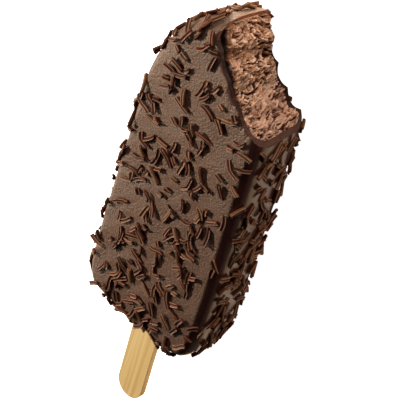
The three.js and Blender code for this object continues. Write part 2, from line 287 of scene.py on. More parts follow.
def side_line(a, b, steps):
    t = (np.arange(1, steps) / steps)[:, None]
    points = a[:2] + (b[:2] - a[:2]) * t
    normal = np.array([b[1] - a[1], a[0] - b[0]])
    return np.column_stack([points, np.tile(normal / np.hypot(*normal), (steps - 1, 1))])


def bar_outline(arch_steps, side_steps, foot_steps):
    """The plan of the bar, counter-clockwise from the right end of the arch."""
    half = BAR_WIDTH / 2
    top = arch(half * (1 - TAPER), ARCH_LENGTH, ARCH_POWER, BAR_LENGTH - ARCH_LENGTH, 1, arch_steps)
    foot = arch(half, FOOT_LENGTH, FOOT_POWER, FOOT_LENGTH, -1, foot_steps)
    return np.vstack([
        top, side_line(top[-1], foot[0], side_steps), foot, side_line(foot[-1], top[0], side_steps)
    ])


def even_outline(count):
    """The same plan as points at equal distances."""
    fine = bar_outline(600, 60, 2400)
    fine = np.vstack([fine, fine[:1]])
    run = np.concatenate([[0], np.cumsum(np.hypot(*np.diff(fine[:, :2], axis=0).T))])
    places = np.arange(count) * run[-1] / count
    return np.column_stack([np.interp(places, run, fine[:, i]) for i in range(4)])


def edge_widths(outline):
    """Width of the rounded edge along the outline: narrower at the sides and the foot's corners."""
    after = np.roll(outline, -1, axis=0)
    run = np.hypot(*(after - outline)[:, :2].T)
    turn = np.hypot(*(after - outline)[:, 2:].T)
    bend = turn / run
    tightest = np.maximum(bend, np.roll(bend, 1))
    width = mix(EDGE_ACROSS, EDGE_SIDES, outline[:, 2] ** 2)
    return width / (1 + (width * tightest / EDGE_TURN) ** 6) ** (1 / 6)


def drafted(x, height):
    """Where a place across the straight-sided bar lies on the bar that widens to its front."""
    return x * (1 + DRAFT * height) + ASIDE


def set_rings(form, before, after, height):
    """Moves the corners of the two selected faces from one ring to the next, at a height."""
    bpy.ops.object.mode_set(mode="OBJECT")
    for face in form.data.polygons:
        if not face.select:
            continue
        for index in face.vertices:
            corner = form.data.vertices[index].co
            nearest = np.hypot(before[:, 0] - corner.x, before[:, 1] - corner.y).argmin()
            corner.xyz = (*after[nearest], math.copysign(height, corner.z))
    bpy.ops.object.mode_set(mode="EDIT")


def bar_form(inset, columns, edge_steps, face_steps):
    """The unbitten bar as a closed form, so deep inside its own surface."""
    outline = even_outline(columns)
    widths = edge_widths(outline)
    turns = [math.pi / 2 * step / edge_steps for step in range(edge_steps + 1)]
    rings = [
        outline[:, :2] - outline[:, 2:] * (inset + (widths - inset) * (1 - math.cos(turn)))[:, None]
        for turn in turns
    ]
    bpy.ops.object.select_all(action="DESELECT")
    bpy.ops.mesh.primitive_circle_add(vertices=columns, radius=BAR_WIDTH / 2, fill_type="NGON")
    form = active()
    for vertex, place in zip(form.data.vertices, rings[0]):
        vertex.co = (*place, -SHOULDER)
    edit(form)
    bpy.ops.mesh.select_all(action="SELECT")
    bpy.ops.mesh.extrude_region_move(TRANSFORM_OT_translate={"value": (0, 0, 2 * SHOULDER)})
    bpy.ops.mesh.select_all(action="SELECT")
    bpy.ops.mesh.normals_make_consistent(inside=False)
    select_faces(form, lambda centre, normal: abs(normal.z) > 0.9)
    for turn, before, after in zip(turns[1:], rings, rings[1:]):
        bpy.ops.mesh.inset(thickness=0, depth=0, use_individual=True)
        set_rings(form, before, after, SHOULDER + (EDGE_THROUGH - inset) * math.sin(turn))
    for step in range(face_steps, 1, -1):
        bpy.ops.mesh.inset(thickness=0, depth=0, use_individual=True)
        shrink = (step - 1) / step
        bpy.ops.transform.resize(value=(shrink, shrink, 1), center_override=(0, BAR_LENGTH / 2, 0))
    bpy.ops.mesh.poke()
    bpy.ops.mesh.select_all(action="SELECT")
    bpy.ops.mesh.normals_make_consistent(inside=False)
    done()
    for vertex in form.data.vertices:
        vertex.co.x = drafted(vertex.co.x, vertex.co.z)
    return form


# ------------------------------------------------------------------ the bite


def bite_arc(height):
    t = 0.5 - height / BAR_THICKNESS
    return {name: mix(BITE_FRONT[name], BITE_BACK[name], t) for name in BITE_FRONT}


def tooth_reach(share, height):
    """How far beyond its arc the bite reaches, at a share of its length and a height."""
    t = clamp(0.5 - height / BAR_THICKNESS)
    depth = mix(TOOTH_DEPTH_FRONT, TOOTH_DEPTH_BACK, t)
    tooth = abs(math.sin(math.pi * (share - TOOTH_START) / TOOTH_SHARE)) - 2 / math.pi
    return depth * tooth - BITE_CURL * (1 - t ** 4) * (1 - rise(*CURL_SHARES, share))


tears = hills(5, 12, 8)
crumbs = hills(9, 31, 17)


def shell_reach(share, height):
    """The broken edge of the chocolate: the marks of the teeth with a little raggedness."""
    along = share * BITE_LENGTH
    ragged = noise.fractal(Vector((along / 2.2, height / 3.0, 4)), 0.9, 2.1, 3)
    return tooth_reach(share, height) + RAGGEDNESS * ragged


def recess(share):
    """How far the ice cream lies behind the broken edge of the chocolate."""
    return mix(RECESS_TOP, RECESS_SIDE, rise(*RECESS_SHARES, share))


def torn_form(share, height):
    """The broad form of the torn ice cream."""
    along = share * BITE_LENGTH
    deep = height + BAR_THICKNESS
    tear = tears((along + TEAR["slant"] * deep) / TEAR["across"], deep / TEAR["through"]) - 0.5
    crumb = crumbs(along / CRUMB["across"], deep / CRUMB["through"]) - 0.5
    return (tooth_reach(share, height) + recess(share)
            + TEAR["height"] * tear + CRUMB["height"] * crumb)


def melt(share, height):
    """Where the ice cream has melted and run along its front edge, from 0 to 1."""
    middle = MELT_HEIGHT - 14 * (share - 0.31) ** 2
    strip = math.exp(-((height - middle) / MELT_REACH) ** 2)
    return strip * rise(0.16, 0.22, share) * (1 - rise(0.38, 0.46, share))


def gap(share, height):
    """How far the ice cream draws back along the front of the shell."""
    start = mix(8.5, 10.8, rise(0.35, 0.8, share)) + 0.5 * noise.noise(Vector((share * 30, 0.5, 6)))
    return GAP_DEPTH * rise(start - 0.4, start + 0.4, height) * rise(0.12, 0.22, share)


def hollow(share, height):
    """How far the deeper hollows of the torn face lie back."""
    return sum(
        depth * math.exp(-(((share - at) * BITE_LENGTH / along) ** 2 + ((height - level) / through) ** 2))
        for at, level, along, through, depth in HOLLOWS
    )


def streaked(share, height):
    """Places along and across the streaks of the torn ice cream, which sway as they go."""
    along = share * BITE_LENGTH
    deep = height + BAR_THICKNESS
    sway = 1.4 * noise.noise(Vector((along / 5, deep / 6, 2)))
    sway += 0.5 * noise.noise(Vector((along / 1.1, deep / 1.4, 6)))
    return along - 0.1 * deep + sway, deep


def crumble(share, height):
    """The fine depth of the torn face: grains, torn folds and broken creases along the streaks."""
    u, v = streaked(share, height)
    rough = rise(-0.35, 0.05, noise.noise(Vector((u / 3.5, v / 5, 11))))
    grains = noise.voronoi(Vector((u / 0.36, v / 0.9, 3)))[0][0] - 0.45
    folds = noise.fractal(Vector((u / 0.6, v / 2.6, 8)), 0.7, 2.2, 5)
    crease = ease(max(0.0, 1 - abs(noise.noise(Vector((u / 1.1, v / 6.0, 1.7)))) / 0.13))
    crease *= rise(-0.1, 0.1, noise.noise(Vector((u / 1.6, v / 2.0, 31))))
    relief = GRAIN_DEPTH * grains + FOLD_DEPTH * folds + CREASE_DEPTH * crease
    return mix(0.35, 1.0, rough) * relief


def torn_reach(share, height):
    """The torn ice cream: ledges across the bite, hollows, crumb, and a melted front edge."""
    u, v = streaked(share, height)
    step = u / LEDGE_SPACING
    row = math.floor(step)
    ledge = (step - row) ** 1.6 - 0.38
    shown = rise(-0.15, 0.25, noise.noise(Vector((row * 3.7, v / 3.5, 21))))
    torn = crumble(share, height) - LEDGE_HEIGHT * shown * ledge + hollow(share, height)
    torn = mix(torn, MELT_LEVEL, melt(share, height))
    return torn_form(share, height) + torn + gap(share, height)


def scoop(columns, levels, reach):
    """The bitten-off volume as a tool to cut with."""
    far_columns = columns // 4
    limit = BAR_THICKNESS / 2 + 3
    bpy.ops.object.select_all(action="DESELECT")
    bpy.ops.mesh.primitive_grid_add(x_subdivisions=columns + far_columns, y_subdivisions=levels)
    tool = active()
    width = columns + far_columns + 1
    for index, vertex in enumerate(tool.data.vertices):
        column = index % width
        height = mix(-limit, limit, (index // width) / levels)
        arc = bite_arc(height)
        share = column / columns
        if column > columns:
            past = (column - columns) / far_columns
            turn, r = mix(arc["stop"], arc["start"] + 2, past), arc["radius"]
        else:
            near = min(1.0, share * 25, (1 - share) * 25)
            turn, r = mix(arc["start"], arc["stop"], share), arc["radius"] + near * reach(share, height)
        vertex.co = (
            arc["x"] + r * math.cos(math.pi * turn),
            arc["y"] + r * math.sin(math.pi * turn),
            height,
        )
    edit(tool)
    bpy.ops.mesh.select_all(action="SELECT")
    bpy.ops.mesh.remove_doubles(threshold=1e-4)
    bpy.ops.mesh.select_all(action="DESELECT")
    bpy.ops.mesh.select_mode(type="EDGE")
    bpy.ops.mesh.select_non_manifold(extend=False, use_wire=False, use_multi_face=False,
                                     use_non_contiguous=False, use_verts=False)
    bpy.ops.mesh.edge_face_add()
    bpy.ops.mesh.select_all(action="SELECT")
    bpy.ops.mesh.normals_make_consistent(inside=False)
    done()
    return tool


def tear_relief(piece):
    """Keeps how far each point of the torn face lies back, its fine depth, where it is melted and where it
    draws back from the shell; the material turns the depths and the gap into painted shade and painted
    highlights.
    """
    kept = {"hollow": [], "pit": [], "melt": [], "gap": []}
    for vertex in piece.data.vertices:
        x, y, height = vertex.co
        arc = bite_arc(height)
        turn = math.atan2(y - arc["y"], x - arc["x"]) / math.pi % 2
        share = (turn - arc["start"]) / (arc["stop"] - arc["start"])
        r = math.hypot(x - arc["x"], y - arc["y"])
        torn = 0 < share < 1
        kept["hollow"].append(r - arc["radius"] - torn_form(share, height) if torn else 0.0)
        kept["pit"].append(crumble(share, height) if torn else 0.0)
        kept["melt"].append(melt(share, height))
        kept["gap"].append(gap(share, height))
    for name, values in kept.items():
        piece.data.attributes.new(name, "FLOAT", "POINT").data.foreach_set("value", values)


# ------------------------------------------------------------------ the stick


def stick_form(clearance, segments, rounding):
    """A flat strip with round ends, from a cylinder drawn out along its length."""
    first = STICK_WIDTH / 2 - STICK_SHOWING
    last = first + STICK_LENGTH - STICK_WIDTH
    bpy.ops.object.select_all(action="DESELECT")
    bpy.ops.mesh.primitive_cylinder_add(
        vertices=segments,
        radius=STICK_WIDTH / 2 + clearance,
        depth=STICK_THICKNESS + 2 * clearance,
        location=(0, first, 0),
    )
    strip = active()
    bpy.ops.object.transform_apply(location=True, rotation=True, scale=True)
    for vertex in strip.data.vertices:
        if vertex.co.y > first + 1e-4:
            vertex.co.y += last - first
    if rounding:
        modify(strip, "BEVEL", width=rounding, segments=3, limit_method="ANGLE", angle_limit=1.0)
    strip.data.transform(
        Matrix.Translation((STICK_OFFSET, 0, 0)) @ Matrix.Rotation(STICK_LEAN, 4, "Z"))
    return strip


# ------------------------------------------------------------------ where sprinkles lie

COVER_TOP, COVER_FOOT, COVER_EDGE, COVER_BARE = 0.42, 0.66, 0.85, 0.12
CLUMPS = (          # x, y, reach, how much more
    (-15, 46, 6, 0.5),
    (-13, 15, 8, 0.5),
    (13, 38, 6, 0.4),
    (12, 55, 6, 0.3),
    (13, 75, 5, 0.3),
)
OUTLINE = bar_outline(22, 6, 18)
EDGES = edge_widths(OUTLINE)
RUN = np.concatenate([[0], np.cumsum(np.hypot(*(np.roll(OUTLINE, -1, 0) - OUTLINE)[:, :2].T))])
EDGE_ARC = math.pi / 4 * (EDGE_ACROSS + EDGE_THROUGH)
WRAP = 2 * SHOULDER + 2 * EDGE_ARC
FACE_AREA = (BAR_WIDTH - 2 * EDGE_ACROSS) * (BAR_LENGTH - 2 * EDGE_ACROSS)
SIDE_SHARE = RUN[-1] * WRAP / (RUN[-1] * WRAP + 2 * FACE_AREA)


def edge_distance(x, y):
    return ((OUTLINE[:, 0] - x) * OUTLINE[:, 2] + (OUTLINE[:, 1] - y) * OUTLINE[:, 3]).min()


def side_spot(along, around):
    """A point of the side and its normal: so far along the outline, so far from front to back."""
    i = int(np.argmax(RUN > along)) - 1
    t = (along - RUN[i]) / (RUN[i + 1] - RUN[i])
    p = OUTLINE[i] + (OUTLINE[(i + 1) % len(OUTLINE)] - OUTLINE[i]) * t
    past = abs(around - WRAP / 2) - SHOULDER
    turn = max(0.0, past / EDGE_ARC) * math.pi / 2
    face = math.copysign(1, WRAP / 2 - around)
    edge = mix(EDGES[i], EDGES[(i + 1) % len(EDGES)], t)
    inwards = edge * (1 - math.cos(turn))
    flat = Vector((p[2], p[3])).normalized()
    height = face * (SHOULDER + EDGE_THROUGH * math.sin(turn)) if past > 0 else WRAP / 2 - around
    point = Vector((p[0] - flat.x * inwards, p[1] - flat.y * inwards, height))
    normal = Vector((
        flat.x * math.cos(turn) / edge,
        flat.y * math.cos(turn) / edge,
        face * math.sin(turn) / EDGE_THROUGH,
    )).normalized()
    return point, normal


def straight_spot(choice, a, b):
    if choice < SIDE_SHARE:
        return side_spot(a * RUN[-1], b * WRAP)
    x = (a - 0.5) * (BAR_WIDTH - 2 * EDGE_ACROSS)
    y = mix(EDGE_ACROSS, BAR_LENGTH - EDGE_ACROSS, b)
    if edge_distance(x, y) < EDGE_ACROSS:
        return None
    face = 1 if choice < (1 + SIDE_SHARE) / 2 else -1
    return Vector((x, y, face * BAR_THICKNESS / 2)), Vector((0, 0, face))


def surface_spot(choice, a, b):
    """The same on the bar that widens to its front."""
    spot = straight_spot(choice, a, b)
    if spot is None:
        return None
    point, normal = spot
    nx = normal.x / (1 + DRAFT * point.z)
    leaning = Vector((nx, normal.y, normal.z - DRAFT * point.x * nx)).normalized()
    return Vector((drafted(point.x, point.z), point.y, point.z)), leaning


def cover(point, normal):
    if normal.x > 0.5 and normal.z > 0.15 and point.y < 0.75 * BAR_LENGTH:
        return COVER_BARE
    if normal.y < -0.5 and point.x < 4:
        return COVER_BARE
    if abs(normal.z) < 0.8:
        return COVER_EDGE
    clumps = sum(
        more * math.exp(-((point.x - x) ** 2 + (point.y - y) ** 2) / reach ** 2)
        for x, y, reach, more in CLUMPS
    )
    return mix(COVER_FOOT, COVER_TOP, point.y / BAR_LENGTH) + clumps


def drifts(point):
    """The small sprinkles gather in drifts and on the top end; one corner of the foot is bare."""
    if point.y > TOP_END and point.x > -17:
        return 1.0
    if point.y < 12 and point.x < -13:
        return 0.15
    return mix(0.3, 1.0, rise(-0.25, 0.2, noise.noise(point / 5.5 + Vector((7, 3, 1)))))


def clear_of_bite(point, margin):
    arc = bite_arc(point.z)
    return math.hypot(point.x - arc["x"], point.y - arc["y"]) > arc["radius"] + margin


def clear_of_stick(point):
    return point.y > EDGE_ACROSS or math.hypot(point.x - STICK_OFFSET, point.z) > STICK_ROOM


def sprinkle_places():
    """Every sprinkle's middle, normal, length, bow, heading and lift; the largest come first."""
    stream = number_stream(SPRINKLE_SEED)
    laid = []
    for _ in range(SPRINKLE_ATTEMPTS):
        if len(laid) == ALL_SPRINKLES:
            break
        spot = surface_spot(next(stream), next(stream), next(stream))
        luck, size, bow, heading, lift = (next(stream) for _ in range(5))
        if spot is None or luck > cover(*spot):
            continue
        point, normal = spot
        large = len(laid) < LARGE_SPRINKLES
        if not large and luck > cover(*spot) * drifts(point):
            continue
        margin, spacing = LARGE_ROOM if large else TOP_ROOM if point.y > TOP_END else SMALL_ROOM
        if not clear_of_bite(point, margin) or not clear_of_stick(point):
            continue
        near = min(((other["point"] - point).length for other in laid), default=BAR_LENGTH)
        if near < spacing:
            continue
        laid.append({
            "point": point,
            "normal": normal,
            "length": mix(*(LARGE_LENGTHS if large else SMALL_LENGTHS), size),
            "bow": mix(-BOW, BOW, bow),
            "heading": heading * math.pi,
            "lift": mix(-LIFT, LIFT, lift),
            "raised": 0.0 if large or near > CROWDED else RAISED * (1 - near / CROWDED),
        })
    return laid


def lay(spot):
    """The matrix that lays a rod, along X with its middle at the origin, on the surface."""
    up = spot["normal"]
    level = Vector((1, 0, 0)) if abs(up.z) > 0.9 else Vector((0, 0, 1))
    along = level.cross(up).normalized()
    along.rotate(Matrix.Rotation(spot["heading"], 3, up))
    across = up.cross(along)
    middle = spot["point"] + up * (SUNK * SPRINKLE_THICKNESS + spot["raised"])
    turned = Matrix((along, across, up)).transposed().to_4x4()
    return Matrix.Translation(middle) @ turned @ Matrix.Rotation(spot["lift"], 4, "Y")


# ------------------------------------------------------------------ materials


def node(tree, kind, **settings):
    """A new node. Its inputs are plain values, or sockets to link."""
    made = tree.nodes.new(kind)
    inputs = settings.pop("inputs", {})
    for name, value in settings.items():
        setattr(made, name, value)
    for name, value in inputs.items():
        if isinstance(value, bpy.types.NodeSocket):
            tree.links.new(value, made.inputs[name])
        else:
            made.inputs[name].default_value = value
    return made


def colour(hexadecimal):
    """Linear colour from an sRGB hexadecimal one."""
    channels = [int(hexadecimal[i:i + 2], 16) / 255 for i in (0, 2, 4)]
    return [c / 12.92 if c < 0.04045 else ((c + 0.055) / 1.055) ** 2.4 for c in channels] + [1]


def new_group(name, inputs, outputs):
    group = bpy.data.node_groups.new(name, "ShaderNodeTree")
    for socket, value in inputs.items():
        made = group.interface.new_socket(name=socket, in_out="INPUT", socket_type="NodeSocketFloat")
        made.default_value = value
    for socket, kind in outputs.items():
        group.interface.new_socket(name=socket, in_out="OUTPUT", socket_type=kind)
    entry = group.nodes.new("NodeGroupInput")
    leave = group.nodes.new("NodeGroupOutput")
    return group, entry, leave


def millimetres(tree, scale=(1000, 1000, 1000)):
    place = node(tree, "ShaderNodeTexCoord")
    return node(tree, "ShaderNodeMapping", inputs={"Vector": place.outputs["Object"], "Scale": scale}
                ).outputs["Vector"]


def uneven_group():
    """Soft variation at two sizes, and a fine pebbled height, all in millimetres."""
    group, entry, leave = new_group(
        "uneven",
        {"Patch mm": 12.0, "Speck mm": 1.2, "Pebble mm": 0.45},
        {"Patches": "NodeSocketFloat", "Specks": "NodeSocketFloat", "Pebbles": "NodeSocketFloat"},
    )
    place = millimetres(group)
    for size, out, detail in (("Patch mm", "Patches", 3), ("Speck mm", "Specks", 4),
                              ("Pebble mm", "Pebbles", 2)):
        scale = node(group, "ShaderNodeMath", operation="DIVIDE", inputs={0: 1.0, 1: entry.outputs[size]})
        field = node(group, "ShaderNodeTexNoise", inputs={
            "Vector": place, "Scale": scale.outputs[0], "Detail": detail, "Roughness": 0.55})
        group.links.new(field.outputs["Fac"], leave.inputs[out])
    return group


UNEVEN = uneven_group()


def uneven(tree, patch, speck, pebble):
    return node(tree, "ShaderNodeGroup", node_tree=UNEVEN, inputs={
        "Patch mm": patch, "Speck mm": speck, "Pebble mm": pebble}).outputs


def ramp(tree, value, *stops):
    made = node(tree, "ShaderNodeValToRGB", inputs={"Fac": value})
    elements = made.color_ramp.elements
    while len(elements) < len(stops):
        elements.new(0.5)
    for element, (place, tint) in zip(elements, stops):
        element.position = place
        element.color = tint
    return made.outputs["Color"]


def spread(tree, value, low, high, to_low=0.0, to_high=1.0):
    """The value, moved from one range to another and kept inside it."""
    return node(tree, "ShaderNodeMapRange", inputs={
        "Value": value, "From Min": low, "From Max": high, "To Min": to_low, "To Max": to_high}).outputs[0]


def blend(tree, fac, a, b):
    """One colour, or with fac at 1 the other."""
    made = node(tree, "ShaderNodeMix", data_type="RGBA")
    for socket, value in ((made.inputs[0], fac), (made.inputs[6], a), (made.inputs[7], b)):
        if isinstance(value, bpy.types.NodeSocket):
            tree.links.new(value, socket)
        else:
            socket.default_value = value
    return made.outputs[2]


def bump(tree, height, distance, strength, under=None):
    made = node(tree, "ShaderNodeBump", inputs={
        "Height": height, "Distance": distance, "Strength": strength})
    if under:
        tree.links.new(under, made.inputs["Normal"])
    return made.outputs["Normal"]


def new_material(name, **plain):
    material = bpy.data.materials.new(name)
    material.use_nodes = True
    shader = material.node_tree.nodes["Principled BSDF"]
    for socket, value in plain.items():
        shader.inputs[socket.replace("_", " ")].default_value = value
    return material, material.node_tree, shader


def milk_chocolate_shell():
    material, tree, shader = new_material(
        "milk_chocolate_shell",
        Specular_IOR_Level=0.8,
        Specular_Tint=(1.0, 0.80, 0.62, 1),
        Sheen_Weight=0.08,
        Sheen_Roughness=0.5,
        Sheen_Tint=(1.0, 0.74, 0.52, 1),
    )
    field = uneven(tree, 14.0, 1.6, 0.5)
    tone = ramp(tree, spread(tree, field["Patches"], 0.3, 0.7),
                (0.0, colour("3a2018")), (1.0, colour("492b21")))
    tone = blend(tree, spread(tree, field["Specks"], 0.35, 0.75, 0.0, 0.3), tone, colour("62422f"))
    # Painted shade: the +X edge and side are painted a dark maroon for the dark band there, and are also
    # made smoother and glossier.
    edge = node(tree, "ShaderNodeAttribute", attribute_name="edge").outputs["Fac"]
    tone = blend(tree, edge, tone, colour("341416"))
    tree.links.new(tone, shader.inputs["Base Color"])
    tree.links.new(spread(tree, edge, 0.0, 1.0, 0.62, 0.17), shader.inputs["Roughness"])
    pebbles = node(tree, "ShaderNodeMath", operation="MULTIPLY", inputs={
        0: field["Pebbles"], 1: spread(tree, edge, 0.0, 1.0, 1.0, 0.15)}).outputs[0]
    tree.links.new(bump(tree, pebbles, 0.0004, 0.85), shader.inputs["Normal"])
    return material


def broken_chocolate():
    """The dull face where the shell is broken: dark chocolate deepened into painted shade, with painted
    reflection towards +X and painted light at the top end.
    """
    material, tree, shader = new_material("broken_chocolate", Specular_IOR_Level=0.15)
    field = uneven(tree, 4.0, 0.6, 0.25)
    place = node(tree, "ShaderNodeTexCoord").outputs["Object"]
    place = node(tree, "ShaderNodeSeparateXYZ", inputs={"Vector": place})
    # Near-black tone: the broken chocolate's own dark colour, deepened as painted shade along the broken
    # edge.
    tone = blend(tree, spread(tree, field["Specks"], 0.35, 0.65), colour("1a0b09"), colour("34190f"))
    # Painted reflection: lighter towards +X, where the broken side wall mirrors the pale floor.
    tone = blend(tree, spread(tree, place.outputs["X"], 0.011, 0.016), tone, colour("4a3028"))
    # Painted light: lighter towards the top end, where that broken face is lit.
    tone = blend(tree, spread(tree, place.outputs["Y"], 0.0625, 0.0655), tone, colour("8a5640"))
    tree.links.new(tone, shader.inputs["Base Color"])
    tree.links.new(spread(tree, field["Patches"], 0.3, 0.7, 0.6, 0.8), shader.inputs["Roughness"])
    tree.links.new(bump(tree, field["Pebbles"], 0.0003, 0.8), shader.inputs["Normal"])
    return material


def sprinkle_chocolate():
    material, tree, shader = new_material(
        "sprinkle_chocolate",
        Specular_IOR_Level=0.18,
        Specular_Tint=(1.0, 0.74, 0.52, 1),
    )
    shade = node(tree, "ShaderNodeAttribute", attribute_name="shade").outputs["Fac"]
    crest_highlight = node(tree, "ShaderNodeAttribute", attribute_name="crest_highlight").outputs["Fac"]
    field = uneven(tree, 6.0, 0.7, 0.25)
    # The sprinkle's own dark brown, painted darker in the groove as painted shade and lighter on its
    # crests as painted highlights.
    core = ramp(tree, shade, (0.0, colour("2a0903")), (0.7, colour("441203")), (1.0, colour("5e3c28")))
    crest = ramp(tree, shade, (0.0, colour("76584a")), (0.6, colour("967460")), (1.0, colour("9a7c64")))
    tone = blend(tree, crest_highlight, core, crest)
    tone = blend(tree, spread(tree, field["Specks"], 0.45, 0.75, 0.0, 0.25), tone, colour("4a1e14"))
    tree.links.new(tone, shader.inputs["Base Color"])
    tree.links.new(spread(tree, field["Specks"], 0.3, 0.7, 0.42, 0.56), shader.inputs["Roughness"])
    tree.links.new(bump(tree, field["Pebbles"], 0.00015, 0.5), shader.inputs["Normal"])
    return material


def torn_ice_cream():
    material, tree, shader = new_material("torn_ice_cream", Specular_IOR_Level=0.4)
    field = uneven(tree, 4.0, 0.8, 0.3)
    hollows = node(tree, "ShaderNodeAttribute", attribute_name="hollow").outputs["Fac"]
    pits = node(tree, "ShaderNodeAttribute", attribute_name="pit").outputs["Fac"]
    wet = node(tree, "ShaderNodeAttribute", attribute_name="melt").outputs["Fac"]
    gaps = node(tree, "ShaderNodeAttribute", attribute_name="gap").outputs["Fac"]
    streaks = node(tree, "ShaderNodeTexNoise", inputs={
        "Vector": millimetres(tree, (900, 900, 220)), "Scale": 1.0, "Detail": 5, "Roughness": 0.65})
    tone = ramp(tree, spread(tree, streaks.outputs["Fac"], 0.3, 0.7),
                (0.0, colour("885c44")), (0.5, colour("a5775b")), (1.0, colour("ba977a")))
    place = node(tree, "ShaderNodeTexCoord").outputs["Object"]
    along = node(tree, "ShaderNodeSeparateXYZ", inputs={"Vector": place}).outputs["Y"]
    tone = blend(tree, spread(tree, along, 0.054, 0.042, 0.0, 0.6), tone, colour("cc9e8c"))
    tone = blend(tree, spread(tree, field["Patches"], 0.5, 0.66, 0.0, 0.7), tone, colour("cdb0a0"))
    # Painted highlight: lighter on the crests of the fine relief.
    tone = blend(tree, spread(tree, pits, -0.1, -0.6, 0.0, 0.75), tone, colour("dcb8a0"))
    # Painted shade: darker down in the pits of the fine relief.
    tone = blend(tree, spread(tree, pits, -0.05, 0.45), tone, colour("4a1c10"))
    # Painted shade: darker, then near-black, in the deeper hollows of the torn face.
    tone = blend(tree, spread(tree, hollows, 0.6, 2.0, 0.0, 0.5), tone, colour("5a2e20"))
    tone = blend(tree, spread(tree, hollows, 2.0, 3.5), tone, colour("26130f"))
    tone = blend(tree, wet, tone, colour("8e5836"))
    # Painted shade: near-black where the ice cream draws back from the shell, in the shaded gap.
    tone = blend(tree, spread(tree, gaps, 0.0, 0.8), tone, colour("200f0c"))
    tree.links.new(tone, shader.inputs["Base Color"])
    dull = spread(tree, field["Specks"], 0.3, 0.7, 0.5, 0.7)
    gloss = node(tree, "ShaderNodeMath", operation="MULTIPLY_ADD", use_clamp=True, inputs={
        0: wet, 1: -0.5, 2: dull}).outputs[0]
    tree.links.new(gloss, shader.inputs["Roughness"])
    tree.links.new(wet, shader.inputs["Coat Weight"])
    shader.inputs["Coat Roughness"].default_value = 0.15
    grain = bump(tree, field["Specks"], 0.0004, 0.7)
    tree.links.new(bump(tree, field["Pebbles"], 0.0002, 0.6, grain), shader.inputs["Normal"])
    return material


def birch():
    material, tree, shader = new_material("birch", Specular_IOR_Level=0.35)
    field = uneven(tree, 9.0, 1.0, 0.3)
    lines = node(tree, "ShaderNodeTexNoise", inputs={
        "Vector": millimetres(tree, (900, 14, 500)), "Scale": 1.0, "Detail": 3, "Roughness": 0.6,
        "Distortion": 0.15}).outputs["Fac"]
    fibres = node(tree, "ShaderNodeTexNoise", inputs={
        "Vector": millimetres(tree, (4200, 90, 4200)), "Scale": 1.0, "Detail": 3}).outputs["Fac"]
    tone = ramp(tree, spread(tree, lines, 0.3, 0.7),
                (0.0, colour("b68c54")), (0.45, colour("cca96b")), (1.0, colour("dec492")))
    tone = blend(tree, spread(tree, fibres, 0.5, 0.8, 0.0, 0.35), tone, colour("9c7442"))
    tree.links.new(tone, shader.inputs["Base Color"])
    tree.links.new(spread(tree, field["Specks"], 0.3, 0.7, 0.5, 0.66), shader.inputs["Roughness"])
    tree.links.new(bump(tree, fibres, 0.00008, 0.6), shader.inputs["Normal"])
    return material


# ------------------------------------------------------------------ the pieces


def mark_broken(piece):
    """Gives the second material to the faces that the bite laid open in the chocolate."""
    for face in piece.data.polygons:
        x, y, height = face.center
        arc = bite_arc(height)
        turn = math.atan2(y - arc["y"], x - arc["x"]) / math.pi % 2
        share = (turn - arc["start"]) / (arc["stop"] - arc["start"])
        r = math.hypot(x - arc["x"], y - arc["y"])
        edge = arc["radius"] + shell_reach(share, height)
        face.material_index = 1 if 0 < share < 1 and r < edge + 0.06 else 0


def mark_shaded_edges(piece):
    """Keeps where the coating turns from its faces into its smooth edges and sides on the +X side, which
    its material paints darker as painted shade and makes glossier.
    """
    kept = piece.data.attributes.new("edge", "FLOAT", "POINT")
    kept.data.foreach_set("value", [
        rise(0.04, 0.34, vertex.normal.x) * (1 - rise(0.84, 0.98, abs(vertex.normal.z)))
        for vertex in piece.data.vertices
    ])


def chocolate_shell():
    """The coating: a wavy outside, hollow, open at the bite and slotted for the stick."""
    form = bar_form(0, 260, 16, 14)
    swell = bpy.data.textures.new("swell", "CLOUDS")
    swell.noise_scale = 11.0
    swell.noise_depth = 1
    modify(form, "DISPLACE", texture=swell, strength=0.05, mid_level=0.55, texture_coords="LOCAL")
    core = bar_form(SHELL, 140, 6, 6)
    core.data.transform(Matrix.Translation((0, 0, SHELL_SHIFT)))
    cut(form, core)
    cut(form, scoop(200, 60, shell_reach))
    cut(form, stick_form(SLIP, 64, 0))
    mark_shaded_edges(form)
    pick(form)
    bpy.ops.object.shade_smooth_by_angle(angle=math.radians(38))
    materials = [milk_chocolate_shell(), broken_chocolate()]
    return settle(form, "chocolate_shell", materials, "chocolate", "coating", marks=mark_broken)


def ice_cream_block():
    """The filling, with the torn face of the bite."""
    form = bar_form(SHELL + SLIP, 120, 6, 4)
    form.data.transform(Matrix.Translation((0, 0, SHELL_SHIFT)))
    cut(form, scoop(380, 210, torn_reach))
    cut(form, stick_form(SLIP, 64, 0))
    tear_relief(form)
    pick(form)
    bpy.ops.object.shade_smooth_by_angle(angle=math.radians(50))
    return settle(form, "ice_cream_block", [torn_ice_cream()], "ice_cream", "ice_cream")


def birch_stick():
    form = stick_form(0, 96, STICK_ROUNDING)
    pick(form)
    bpy.ops.object.shade_smooth_by_angle(angle=math.radians(40))
    modify(form, "WEIGHTED_NORMAL", keep_sharp=True)
    return settle(form, "birch_stick", [birch()], "stick_wood", "stick")


def both_sides(turns, values):
    """The same table for turns to the left as for turns to the right."""
    return [-t for t in turns[:0:-1]] + list(turns), [-v for v in values[:0:-1]] + list(values)


